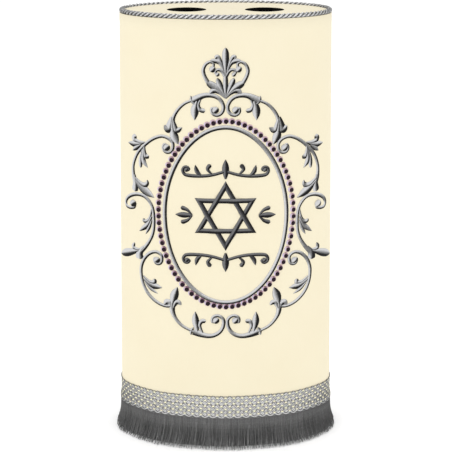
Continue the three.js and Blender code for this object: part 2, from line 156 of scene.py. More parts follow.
class Paint:
    """A procedural finish. What is the same all over is set on the shader itself."""

    def __init__(self, name, steady):
        self.material = bpy.data.materials.new(name)
        self.material.use_nodes = True
        self.tree = self.material.node_tree
        self.shader = self.tree.nodes["Principled BSDF"]
        for socket, value in steady.items():
            self.shader.inputs[socket].default_value = value

    def node(self, kind, settings, inputs, output=0):
        made = self.tree.nodes.new(kind)
        for setting, value in settings.items():
            if setting == "stops":
                while len(made.color_ramp.elements) < len(value):
                    made.color_ramp.elements.new(0.5)
                for element, (place, colour) in zip(made.color_ramp.elements, value):
                    element.position, element.color = place, colour
            else:
                setattr(made, setting, value)
        for socket, value in inputs.items():
            self.feed(made.inputs[socket], value)
        return Socket(self, made.outputs[output])

    def feed(self, socket, value):
        if isinstance(value, Socket):
            self.tree.links.new(value.output, socket)
        else:
            socket.default_value = value

    def drive(self, socket, value):
        self.feed(self.shader.inputs[socket], value)

    def lay(self):
        place = self.node("ShaderNodeUVMap", {"uv_map": "lay"}, {})
        return [self.node("ShaderNodeSeparateXYZ", {}, {0: place}, axis) for axis in (0, 1)]

    def noise(self, along, across, scale, detail=2.0):
        place = self.node("ShaderNodeCombineXYZ", {}, {0: along, 1: across})
        return self.node("ShaderNodeTexNoise", {}, {"Vector": place, "Scale": scale, "Detail": detail})

    def shade(self):
        return self.node("ShaderNodeAttribute", {"attribute_name": "shade"}, {}, 2)

    def mix(self, share, first, second):
        return self.node("ShaderNodeMix", {"data_type": "RGBA"}, {0: share, 6: first, 7: second}, 2)

    def bump(self, height, distance, strength=1.0):
        inputs = {"Height": height, "Distance": distance, "Strength": strength}
        self.drive("Normal", self.node("ShaderNodeBump", {}, inputs))


def colour(red, green, blue):
    return (red, green, blue, 1.0)


def satin_cloth(name):
    """Cream satin: long warp floats, a faint slub and a slightly browner tone in broad patches. Where
    the shade is 1 it is painted black, as painted shade for the dark inside of the mantle."""
    paint = Paint(name, {"Roughness": 0.7, "Specular IOR Level": 0.2, "Sheen Weight": 0.04,
                         "Sheen Roughness": 0.45})
    along, up = paint.lay()
    warp = (along * (2 * math.pi / 0.55)).sine()
    weft = (up * (2 * math.pi / 0.8) + along * 2.2).sine()
    slub = paint.noise(along * 0.9, up * 0.04, 1.0)
    patches = paint.noise(along * 0.012, up * 0.012, 1.0)
    tone = (slub * 0.35 + patches * 0.65).limited()
    face = paint.mix(tone, colour(0.825, 0.745, 0.545), colour(0.86, 0.795, 0.61))
    paint.drive("Base Color", paint.mix(paint.shade(), face, colour(0.004, 0.004, 0.004)))
    paint.drive("Roughness", patches * 0.12 + 0.64)
    paint.bump(warp * 0.3 + weft * 0.2 + slub * 0.5, 0.00006, 0.6)
    return paint


WALL_COLUMNS, OUTER_ROWS = 240, 37
wall_heights = [1.2 + (WALL_TOP - 1.6) * share for share in np.linspace(0, 1, OUTER_ROWS)]
wall_section = [(-0.9, 0.0), (-0.25, 0.35), *((0.0, z) for z in wall_heights), (-0.5, WALL_TOP),
                (-CLOTH + 0.4, WALL_TOP), (-CLOTH, WALL_TOP - 1.5), (-CLOTH, 400.0), (-CLOTH, 150.0),
                (-CLOTH, HEM_DEPTH + 1.2), (-CLOTH - 0.65, HEM_DEPTH), (-CLOTH - 0.65, 12.0),
                (-CLOTH - 0.4, 0.5), (-CLOTH + 0.2, 0.0), (-0.9, 0.0)]


def wall_corner(i, j):
    arc = (2 * i / WALL_COLUMNS - 1) * HALF_ROUND
    out, z = wall_section[j]
    from_seam = HALF_ROUND - abs(arc)
    groove = SEAM_DEPTH * math.exp(-((from_seam / SEAM_HALF_WIDTH) ** 2)) if out > -0.6 else 0.0
    # Painted shade: the wrong side of the wall is painted black for the dark inside of the mantle.
    inside = 1.0 if out < -CLOTH + 0.1 and z < WALL_TOP - 1 else 0.0
    return Vector((arc, z, out - groove)), (arc * flare(z), z), inside


work = new_work()
shaped_sheet(work, WALL_COLUMNS, len(wall_section) - 1, wall_corner)
lay_round(work)
close_up(work, 1e-6)
cloth_wall = made_piece("mantle_wall", work, satin_cloth("cream satin"))
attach(cloth_wall, "root")
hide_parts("cloth_wall")

# Top panel: a stiff oval board covered with the same satin. Its thin edge is sewn onto the wall, and
# the cloth is turned down into two round holes, where the handles of the scroll's staves come through.
LEDGE = (739.0, 740.8)
BOARD_TOP = 745.0
BOARD_INSET = 7.4
HOLE_RADIUS, HOLE_OFFSET = 33.5, 66.2
HOLE_SHADE_REACH = 36.0  # how far from the oval's long axis the cloth in the holes and under the board is painted black, as painted shade
OVAL_SIDES, HOLE_SIDES = 136, 72


def holed_oval(work, inset, bottom, top, hole_radius, rounding):
    """A flat oval slab in metres with the two stave holes, its upper edges rounded."""
    rim = bmesh.ops.create_circle(work, segments=OVAL_SIDES, radius=1.0)["verts"]
    for i, corner in enumerate(rim):
        corner.co = on_oval((2 * i / OVAL_SIDES - 1) * HALF_ROUND, HEIGHT, -inset)
        corner.co.z = bottom / 1000
    for side in (-1, 1):
        place = Matrix.Translation((side * HOLE_OFFSET / 1000, 0, bottom / 1000))
        bmesh.ops.create_circle(work, segments=HOLE_SIDES, radius=hole_radius / 1000, matrix=place)
    edges = [edge for edge in work.edges if not edge.link_faces]
    filled = bmesh.ops.triangle_fill(work, use_beauty=True, edges=edges)["geom"]
    faces = [part for part in filled if isinstance(part, bmesh.types.BMFace)]
    raised = bmesh.ops.extrude_face_region(work, geom=faces, use_keep_orig=True)["geom"]
    corners = [part for part in raised if isinstance(part, bmesh.types.BMVert)]
    bmesh.ops.translate(work, verts=corners, vec=(0, 0, (top - bottom) / 1000))
    upper = set(corners)
    rims = [part for part in raised if isinstance(part, bmesh.types.BMEdge)
            and any(not upper.issuperset(face.verts) for face in part.link_faces)]
    bmesh.ops.bevel(work, geom=rims, offset=rounding / 1000, offset_type="OFFSET", affect="EDGES",
                    segments=4, profile=0.5, material=-1, clamp_overlap=True)


work = new_work()
holed_oval(work, CLOTH + 0.1, *LEDGE, HOLE_RADIUS + 0.3, 0.3)
holed_oval(work, BOARD_INSET, LEDGE[0] + 0.4, BOARD_TOP, HOLE_RADIUS, 0.7)
bmesh.ops.recalc_face_normals(work, faces=work.faces)
lay, shade = work.loops.layers.uv["lay"], work.verts.layers.float["shade"]
# Painted shade: the cloth turned down into the holes, and the underside near them, is painted black for
# the dark inside.
for corner in work.verts:
    below, inside = corner.co.z * 1000 < BOARD_TOP - 0.5, abs(corner.co.y) * 1000 < HOLE_SHADE_REACH
    corner[shade] = 1.0 if below and inside else 0.0
    for loop in corner.link_loops:
        loop[lay].uv = corner.co.xy * 1000
top_panel = made_piece("covered_panel", work, satin_cloth("panel satin"))
top_panel.modifiers.new("even light", "WEIGHTED_NORMAL")
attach(top_panel, "root")
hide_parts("top_panel")

# Edge cord: three plies of metallic silver yarn laid up into a rope and sewn over the seam between the
# wall and the panel. Each ply is a round strand that winds about the cord's own centre line.
CORD_INSET, CORD_HEIGHT = 3.6, 744.8
CORD_TURNS, STEPS_PER_TURN, PLY_SIDES = 34, 18, 10
PLY_RADIUS, PLY_OFFSET = 2.02, 2.2
CORD_END_SHADE = 0.27  # the cord is painted darker where it turns the narrow ends, as painted shade


def turned(along, z):
    """How far the cloth there faces sideways: 0 in front, 1 at the right-hand side, -1 at the left."""
    angle = math.copysign(float(np.interp(abs(along) / flare(z), arcs, half_turn)), along)
    across, forward = math.sin(angle) / TOP_HALF_WIDTH, math.cos(angle) / TOP_HALF_DEPTH
    return across / math.hypot(across, forward)


def cord_corner(ply):
    steps = CORD_TURNS * STEPS_PER_TURN

    def place(i, j):
        arc = (2 * (i % steps) / steps - 1) * HALF_ROUND
        turn = 2 * math.pi * (i / STEPS_PER_TURN + ply / 3)
        around = 2 * math.pi * (j % PLY_SIDES) / PLY_SIDES
        out = -CORD_INSET + PLY_OFFSET * math.cos(turn) + PLY_RADIUS * math.cos(around)
        z = CORD_HEIGHT + PLY_OFFSET * math.sin(turn) + PLY_RADIUS * math.sin(around)
        # Painted light and shade: bright at the outside of each strand, dark where the strands meet.
        depth = math.hypot(out + CORD_INSET, z - CORD_HEIGHT) / (PLY_OFFSET + PLY_RADIUS)
        depth *= 1 - CORD_END_SHADE * turned(arc, HEIGHT) ** 2
        return Vector((arc, z, out)), (arc * 1.05, around * PLY_RADIUS - turn * 0.5), depth

    return place


def silver_cord():
    """Metallic yarn with a fine twist: painted bright on top of each strand and dark where the strands
    meet, as painted light and shade.
    """
    paint = Paint("twisted silver", {"Metallic": 0.3, "Specular IOR Level": 0.4})
    along, around = paint.lay()
    depth = paint.shade()
    twist = (along * 5.2 + around * 3.4).sine()
    # Painted glints: bright white flecks on the yarn.
    painted_glint = (paint.noise(along * 0.3, around * 0.35, 1.0, 2.0) * 3.2 - 1.1).limited()
    light = (depth * 3.4 - 2.25 + painted_glint * 0.35).limited()
    bright = paint.mix(painted_glint, colour(0.3, 0.3, 0.3), colour(0.95, 0.95, 0.97))
    paint.drive("Base Color", paint.mix(light, colour(0.12, 0.12, 0.12), bright))
    paint.drive("Roughness", painted_glint * 0.25 + 0.26)
    paint.bump(twist, 0.00014, 0.8)
    return paint


work = new_work()
for ply in range(3):
    shaped_sheet(work, CORD_TURNS * STEPS_PER_TURN, PLY_SIDES, cord_corner(ply))
lay_round(work)
close_up(work, 1e-7)
edge_cord = made_piece("edge_rope", work, silver_cord())
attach(edge_cord, "root")
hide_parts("edge_cord")

# Fringe: about four thousand cut yarns, dark grey and paler at their open ends. They hang from a narrow
# heading tape that is sewn to the wall, and spread a little where they meet the table.
HEADING = (50.0, 60.0)
LOCKS, YARNS_A_LOCK, UNDER_YARNS, LOCK_KINDS = 102, 28, 13, 6
YARN_STEPS, HEADING_STEPS = 6, 204
FRONT_SPREAD = 1.7  # the tips spread this share further over the table in front and behind
WALL_STAND_OFF = 1.6  # and that counts only from this distance off the wall outwards
END_TONE, FRINGE_END_SHADE = 0.3, 0.28  # at the narrow ends the yarns are painted darker and more alike, as painted shade
fringe_luck = random.Random(7)


def yarn(work, start, luck, under=False):
    """One yarn: three-sided, hanging from the heading to its own cut length. The under yarns are thick
    and hang close together against the wall."""
    layer = 0.0 if under else luck.random()
    tip = 0.3 + 3.2 * luck.random() ** 2 + (2.5 if luck.random() < 0.08 else 0)
    root_out, spread = 1.0 + 0.5 * layer, 0.6 + 7.9 * layer ** 1.2
    drift, sway, phase = luck.gauss(-1.4, 2.4), luck.uniform(0.1, 0.6), luck.uniform(0, 2 * math.pi)
    radius, tone = luck.uniform(0.34, 0.52), luck.random()
    pale = luck.random() ** 3
    tone = 1.0 if luck.random() < 0.03 else tone
    if under:
        root_out, drift, sway, radius, tone, pale, tip = 0.85, 0.0, 0.1, 0.95, 0.3, 0.0, 0.3

    def place(i, j):
        share = i / YARN_STEPS
        around = 2 * math.pi * (j % 3) / 3 + phase
        size = radius * (1.1 - (0.2 if under else 0.5) * share)
        x = start + drift * share ** 2 + sway * math.sin(5 * share + phase) + size * math.cos(around)
        z = (HEADING[0] + 2.5) * (1 - share) + tip * share
        out = root_out + spread * share ** 2.7 + size * math.sin(around)
        shade = 0.55 * tone + (1.3 * pale * max(0.0, (share - 0.6) / 0.4) if layer > 0.3 else 0)
        return Vector((x, z, out)), (around, share * 50), shade

    shaped_sheet(work, YARN_STEPS, 3, place)


def fringe_yarn():
    """Matt yarn in several greys, each with a few lighter filaments."""
    paint = Paint("fringe yarn", {"Specular IOR Level": 0.15, "Sheen Weight": 0.02})
    around, down = paint.lay()
    tone = paint.shade()
    streak = paint.noise(around * 1.7, down * 0.3, 1.4, 3.0)
    light = (tone * 0.55 + (streak - 0.5) * 1.5 + 0.16).limited()
    stops = [(0.0, colour(0.1, 0.1, 0.1)), (0.35, colour(0.21, 0.21, 0.21)),
             (0.6, colour(0.36, 0.36, 0.36)), (1.0, colour(0.9, 0.9, 0.89))]
    paint.drive("Base Color", paint.node("ShaderNodeValToRGB", {"stops": stops}, {0: light}))
    paint.drive("Roughness", streak * 0.3 + 0.4)
    paint.bump(streak, 0.0002, 0.5)
    return paint


def heading_corner(i, j):
    section = [(0.05, HEADING[0]), (1.1, HEADING[0]), (1.1, HEADING[1]), (0.05, HEADING[1]),
               (0.05, HEADING[0])]
    arc = (2 * i / HEADING_STEPS - 1) * HALF_ROUND
    out, z = section[j]
    return Vector((arc, z, out)), (arc, z), 0.1


lock_pitch = 2 * HALF_ROUND / LOCKS
kinds = []
for kind in range(LOCK_KINDS):
    work = new_work()
    for k in range(UNDER_YARNS):
        yarn(work, (k + 0.5) * lock_pitch / UNDER_YARNS, fringe_luck, under=True)
    for k in range(YARNS_A_LOCK):
        yarn(work, (k + fringe_luck.uniform(-0.6, 1.2)) * lock_pitch / YARNS_A_LOCK, fringe_luck)
    close_up(work, 1e-5)
    kinds.append(bpy.data.meshes.new(f"lock {kind}"))
    work.to_mesh(kinds[-1])
    work.free()

work = new_work()
shaped_sheet(work, HEADING_STEPS, 4, heading_corner)
close_up(work)
for i in range(LOCKS):
    kept = len(work.verts)
    work.from_mesh(fringe_luck.choice(kinds))
    work.verts.ensure_lookup_table()
    bmesh.ops.translate(work, verts=work.verts[kept:], vec=(-HALF_ROUND + i * lock_pitch, 0, 0))
shade = work.verts.layers.float["shade"]
for corner in work.verts:
    forward = 1 - turned(corner.co.x * flare(corner.co.y), corner.co.y) ** 2
    corner.co.z += FRONT_SPREAD * forward * max(0.0, corner.co.z - WALL_STAND_OFF)
    # Painted shade: the yarns are darker where the fringe turns to the narrow ends.
    kept_tone = END_TONE + (1 - END_TONE) * forward
    corner[shade] = corner[shade] * kept_tone - FRINGE_END_SHADE * (1 - forward)
lay_round(work)
fringe = made_piece("cut_fringe", work, fringe_yarn())
for kind in kinds:
    bpy.data.meshes.remove(kind)
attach(fringe, "root")
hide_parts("fringe")

# Lattice braid: a machine-made openwork trim. Pairs of flat metallic threads cross on the slant, over
# and under in turn, between a fine corded top edge and looped threads below. It is sewn over the wall's
# foot and the heading of the fringe.
REPEATS = 68
PITCH = 2 * HALF_ROUND / REPEATS
ROW = 5.05
FIRST_CROSSING = 52.95
BRAID_BOTTOM, BRAID_TOP = 54.2, 90.6
THREAD_HALF_WIDTH, THREAD_HALF_THICK = 0.84, 0.22
THREAD_OFFSET = 1.14  # of each thread from the middle of its pair
SHADE_BAND_HALF_WIDTH, SHADE_BAND_HALF_THICK = 2.5, 0.1  # the dark band under each pair: painted shade between and around the threads
THREAD_SIDES, THREAD_STEPS, WAVE_STEPS = 6, 22, 12
WEAVE = 0.19  # how far a thread rises and dips where it passes over and under
BRAID_END_SHADE = 0.5  # the braid is painted darker by this share where it turns the narrow ends, as painted shade


def braid_floor(z):
    """How far the braid's back stands off the wall: it steps out over the fringe's heading."""
    step = min(1.0, max(0.0, (64.5 - z) / 4.0))
    return 0.05 + 1.2 * step * step * (3 - 2 * step)


def thread(work, line, half_width, half_thick, lift, shade):
    """A flat thread along a line of (x, y) points; lift(i) is how far its middle stands out."""
    line = np.asarray(line, float)
    along = np.gradient(line, axis=0)
    along /= np.linalg.norm(along, axis=1)[:, None]
    run = np.concatenate([[0], np.cumsum(np.linalg.norm(np.diff(line, axis=0), axis=1))])

    def place(i, j):
        around = 2 * math.pi * (j % THREAD_SIDES) / THREAD_SIDES
        wide, thick = half_width * math.cos(around), half_thick * math.sin(around)
        x, y = line[i] + wide * np.array([-along[i][1], along[i][0]])
        # Painted light and shade: each thread is bright along its top and dark at its edges.
        crown = 0.12 + 0.88 * max(0.0, math.sin(around)) ** 0.8
        tone = shade(i) if callable(shade) else shade
        return Vector((x, y, lift(i) + thick)), (run[i], around), tone * crown

    shaped_sheet(work, len(line) - 1, THREAD_SIDES, place)


def repeat_round(one, work):
    """Sets one repeat of flat work side by side all round the wall."""
    close_up(one)
    mesh = bpy.data.meshes.new("repeat")
    one.to_mesh(mesh)
    one.free()
    for i in range(REPEATS):
        kept = len(work.verts)
        work.from_mesh(mesh)
        work.verts.ensure_lookup_table()
        bmesh.ops.translate(work, verts=work.verts[kept:], vec=((i - REPEATS / 2) * PITCH, 0, 0))
    bpy.data.meshes.remove(mesh)


one = new_work()
slant = Vector((PITCH / 2, ROW)).normalized()
for direction in (-1, 1):
    for offset in (-THREAD_OFFSET, THREAD_OFFSET, 0.0):
        heights = np.linspace(BRAID_BOTTOM, BRAID_TOP, THREAD_STEPS + 1)
        crossings = (heights - FIRST_CROSSING) / ROW
        line = [(direction * PITCH / 2 * c - offset * direction * slant.y, z + offset * slant.x)
                for c, z in zip(crossings, heights)]
        line = [(x, min(max(y, BRAID_BOTTOM - 1), BRAID_TOP + 0.6)) for x, y in line]

        def lift(i, heights=heights, crossings=crossings, direction=direction):
            over = WEAVE * direction * math.cos(math.pi * crossings[i])
            return braid_floor(heights[i]) + 0.5 + over

        # Painted shade: a thread is darker where it dips under the other and lighter where it passes
        # over.
        def tone(i, crossings=crossings, direction=direction):
            return 0.7 + 0.3 * direction * math.cos(math.pi * crossings[i])

        if offset:
            thread(one, line, THREAD_HALF_WIDTH, THREAD_HALF_THICK, lift, tone)
        else:
            # A black band under each pair of threads stands for the shade between them: painted shade.
            core = 0.14 + 0.04 * direction
            thread(one, line, SHADE_BAND_HALF_WIDTH, SHADE_BAND_HALF_THICK,
                   lambda i, heights=heights, core=core: braid_floor(heights[i]) + core, 0.0)
wave = np.linspace(0, PITCH, WAVE_STEPS + 1)
for rise, height, out in ((1.5, 54.6, 1.0), (-1.1, 52.6, 0.6)):
    loops = [(x, height - rise * math.cos(2 * math.pi * (x / PITCH + 0.5))) for x in wave]
    thread(one, loops, 0.8, 0.55, lambda i, out=out: braid_floor(54) + out, 0.95 if rise > 0 else 0.4)
arches = [(x, 91.0 + 0.5 * math.cos(4 * math.pi * x / PITCH)) for x in wave]
thread(one, arches, 0.65, 0.6, lambda i: braid_floor(90) + 0.9,
       lambda i: 0.12 + 0.5 * math.cos(2 * math.pi * wave[i] / PITCH) ** 2)


def silver_braid():
    """Flat metallic thread, pale silver, darker in the edge cord, with painted shade where threads dip
    and painted glints.
    """
    paint = Paint("lattice thread", {"Metallic": 0.25, "Specular IOR Level": 0.6})
    along, around = paint.lay()
    tone = paint.shade()
    filaments = (around * 6.0 + along * 3.0).sine()
    # Painted glints: bright and dark flecks along the threads.
    painted_glint = paint.noise(along * 0.6, around * 0.4, 1.0, 3.0)
    light = (tone * 1.25 + (painted_glint - 0.5) * 2.9 - 0.09).limited()
    stops = [(0.0, colour(0.025, 0.025, 0.025)), (0.3, colour(0.11, 0.11, 0.11)),
             (0.62, colour(0.56, 0.56, 0.555)), (0.85, colour(1.0, 1.0, 1.0))]
    paint.drive("Base Color", paint.node("ShaderNodeValToRGB", {"stops": stops}, {0: light}))
    paint.drive("Roughness", painted_glint * 0.3 + 0.22)
    paint.bump(filaments, 0.00008, 0.7)
    return paint


work = new_work()
repeat_round(one, work)
shade = work.verts.layers.float["shade"]
for corner in work.verts:
    corner[shade] *= 1 - BRAID_END_SHADE * turned(corner.co.x * flare(corner.co.y), corner.co.y) ** 2
lay_round(work)
braid = made_piece("openwork_braid", work, silver_braid())
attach(braid, "root")
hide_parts("lattice_braid")

# Braid knots: a small knot of pale cream yarn fills each opening of the lattice, in seven rows that are
# set half a repeat apart. Each is tied through the braid and lies flat on its threads.
KNOT_ROWS = 7
KNOT_HALF_WIDTH, KNOT_HALF_HEIGHT, KNOT_RISE = 2.5, 1.3, 0.4
KNOT_LIFT = 0.62  # of a knot's middle off the back of the braid
one = new_work()
for crossing in range(1, KNOT_ROWS + 1):
    x, z = PITCH / 2 * ((crossing + 1) % 2), FIRST_CROSSING + ROW * crossing
    knot = bmesh.ops.create_uvsphere(one, u_segments=10, v_segments=6, radius=1.0)["verts"]
    bmesh.ops.scale(one, vec=(KNOT_HALF_WIDTH, KNOT_HALF_HEIGHT, KNOT_RISE), verts=knot)
    bmesh.ops.translate(one, vec=(x, z, braid_floor(z) + KNOT_LIFT), verts=knot)
work = new_work()
repeat_round(one, work)
lay_round(work)
pale_knot = Paint("pale knot", {"Base Color": colour(1.0, 0.97, 0.72), "Roughness": 0.6,
                                "Specular IOR Level": 0.3})
knots = made_piece("braid_knots", work, pale_knot)
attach(knots, "root")

# Scrollwork: padded satin stitch in metallic silver, worked over a raised core. Every stem and leaf is
# a ridge whose slope towards the light is painted bright and the other painted dark, as painted light
# and shade, and each scroll starts from a round boss at its eye.
# A point in a table is millimetres along the cloth from the front centre, and height.
RELIEF, LEAF_RELIEF, BOSS_RELIEF = 2.0, 2.0, 4.4
SUNK = 0.15  # of the stitching into the cloth
LEAF_BREADTH, STEM_BREADTH = 1.3, 1.3
LEAF_STEP, STEM_STEP = 1.2, 1.9  # between the points along a ridge
RIDGE = [(-1, 0), (-0.86, 0.42), (-0.5, 0.78), (0, 1), (0.42, 0.8), (0.8, 0.42), (1, 0), (0, 0)]
LIGHT_FROM = Vector((-0.71, 0.7))  # where the slopes painted bright face, on the flat cloth: the direction of the painted light
TURNED_SHADE = 0.1  # an upright stem is painted darker where the cloth turns away to the right, and lighter on the left
FLANK_BREADTH = 0.5  # upright stems are worked this share broader where the cloth faces sideways
FLANK_FLATNESS = 1.0  # and the padding under them is lower there
LEAF_SHAPES = {
    "pointed": [(0, 0.3), (0.12, 0.55), (0.25, 0.78), (0.4, 0.96), (0.52, 1), (0.65, 0.92), (0.78, 0.7),
                (0.9, 0.36), (1, 0.04)],
    "blunt": [(0, 0.3), (0.2, 0.52), (0.45, 0.82), (0.65, 1), (0.82, 0.95), (0.93, 0.7), (1, 0.25)],
    "hooked": [(0, 0.36), (0.3, 0.56), (0.6, 0.84), (0.8, 1), (0.91, 0.96), (0.97, 0.75), (1, 0.3)],
    "lip": [(0, 0.4), (0.3, 0.78), (0.55, 1), (0.75, 0.9), (0.9, 0.58), (1, 0.12)],
}


def spline(points, spacing):
    """Even steps along a smooth line through the points."""
    ends = [points[0], *points, points[-1]]
    dense = []
    for a, b, c, d in zip(*(np.array(ends[k:len(ends) - 3 + k], float) for k in range(4))):
        for t in np.arange(0, 1, 1 / 16):
            dense.append(0.5 * (2 * b + (c - a) * t + (2 * a - 5 * b + 4 * c - d) * t ** 2
                                + (3 * b - a - 3 * c + d) * t ** 3))
    dense = np.array([*dense, points[-1]])
    run = np.concatenate([[0], np.cumsum(np.linalg.norm(np.diff(dense, axis=0), axis=1))])
    even = np.linspace(0, run[-1], max(5, round(run[-1] / spacing) + 1))
    return np.stack([np.interp(even, run, dense[:, axis]) for axis in (0, 1)], 1)


def stitched_ridge(work, path, widths, height, side=1, closed=False, mitre=0.0, lift=None):
    """A ridge of satin stitch along a flat path. widths are (share of the path, width) pairs."""
    path = np.array(path, float) * (side, 1)
    count = len(path)
    shares = np.linspace(0, 1, count)
    halves = np.interp(shares, *zip(*widths)) / 2
    if closed:
        along = np.roll(path, -1, 0) - np.roll(path, 1, 0)
    else:
        along = np.gradient(path, axis=0)
    along /= np.linalg.norm(along, axis=1)[:, None]
    run = np.concatenate([[0], np.cumsum(np.linalg.norm(np.diff([*path, path[0]], axis=0), axis=1))])

    def place(i, j):
        k = i % count
        across, rise = RIDGE[j % len(RIDGE)]
        outward = Vector((-along[k][1], along[k][0])) * across
        slip = mitre * across * halves[k] * (2 * shares[k] - 1)
        aside = turned(*path[k])
        breadth = halves[k] * np.array((1 + FLANK_BREADTH * aside ** 2, 1))
        x, y = path[k] + np.array(outward) * breadth + along[k] * slip
        top = min(height, halves[k] * 1.15) * max(0.4, 1 - FLANK_FLATNESS * aside ** 2)
        out = -SUNK + rise * (top + SUNK) + (lift(shares[k]) if lift else 0)
        # Painted light and shade: the slope facing LIGHT_FROM is painted bright, the other dark, and the
        # feet no brighter than mid-grey.
        tone = 0.5 + 0.5 * outward.dot(LIGHT_FROM) - TURNED_SHADE * aside * along[k][1] ** 2
        tone = min(tone, 0.46) if rise < 0.1 else tone
        return Vector((x, y, out)), (run[i], across * halves[k] + halves[k]), tone

    shaped_sheet(work, count if closed else count - 1, len(RIDGE), place)


def broader(widths):
    return [(share, width * STEM_BREADTH) for share, width in widths]


def leaf(work, outline, width, *line, side=1):
    widths = [(share, part * width * LEAF_BREADTH) for share, part in LEAF_SHAPES[outline]]
    stitched_ridge(work, spline(line, LEAF_STEP), widths, LEAF_RELIEF, side)


def boss(work, eye, radius, side=1):
    """The round knot of stitching at a scroll's eye: a dome that is flat underneath."""
    place = Matrix.Translation((side * eye[0], eye[1], -SUNK))
    lay, shade = work.loops.layers.uv["lay"], work.verts.layers.float["shade"]
    dome = bmesh.ops.create_uvsphere(work, u_segments=18, v_segments=10, radius=1.0)["verts"]
    below = [corner for corner in dome if corner.co.z < -0.01]
    bmesh.ops.delete(work, geom=below, context="VERTS")
    dome = [corner for corner in dome if corner.is_valid]
    for corner in dome:
        # Painted light and shade: the dome is painted bright towards LIGHT_FROM and dark away from it.
        corner[shade] = 0.54 + 0.7 * corner.co.xy.dot(LIGHT_FROM)
        for loop in corner.link_loops:
            loop[lay].uv = (corner.co.x * radius, corner.co.y * radius)
    bmesh.ops.scale(work, vec=(radius * (1 + FLANK_BREADTH * turned(*eye) ** 2), radius,
                               min(BOSS_RELIEF, radius)), verts=dome)
    bmesh.ops.transform(work, matrix=place, verts=dome)


def stem(work, eye, radius, start, turn, first, last, bow, widths, side=1):
    """A stem opens out of its boss as a spiral and runs on through the points of its bow."""
    steps = math.ceil(abs(turn) / 36)
    points = [eye]
    for i in range(steps + 1):
        angle = math.radians(start + turn * i / steps)
        reach = first * (last / first) ** ((i / steps) ** 1.6)
        points.append((eye[0] + reach * math.cos(angle), eye[1] + reach * math.sin(angle)))
    stitched_ridge(work, spline(points + bow, STEM_STEP), broader(widths), RELIEF, side)
    boss(work, eye, radius, side)


def stitched_thread(name, dark, middle, bright, metallic):
    """Satin stitch seen close: threads lie across the ridge, with painted shade on the slope away from
    the light and painted light on the other.
    """
    paint = Paint(name, {"Metallic": metallic, "Specular IOR Level": 0.02})
    along, across = paint.lay()
    facing = paint.shade()
    threads = (along * (2 * math.pi / 0.5)).sine()
    sparkle = paint.noise(along * 1.1, across * 0.25, 1.0, 3.0)
    light = (facing + (sparkle - 0.5) * 0.16).limited()
    stops = [(0.0, dark), (0.4, dark), (0.5, middle), (0.61, bright), (1.0, bright)]
    paint.drive("Base Color", paint.node("ShaderNodeValToRGB", {"stops": stops}, {0: light}))
    paint.drive("Roughness", sparkle * 0.3 + 0.3)
    paint.bump(threads * 0.5 + sparkle * 0.5, 0.00012, 0.6)
    return paint


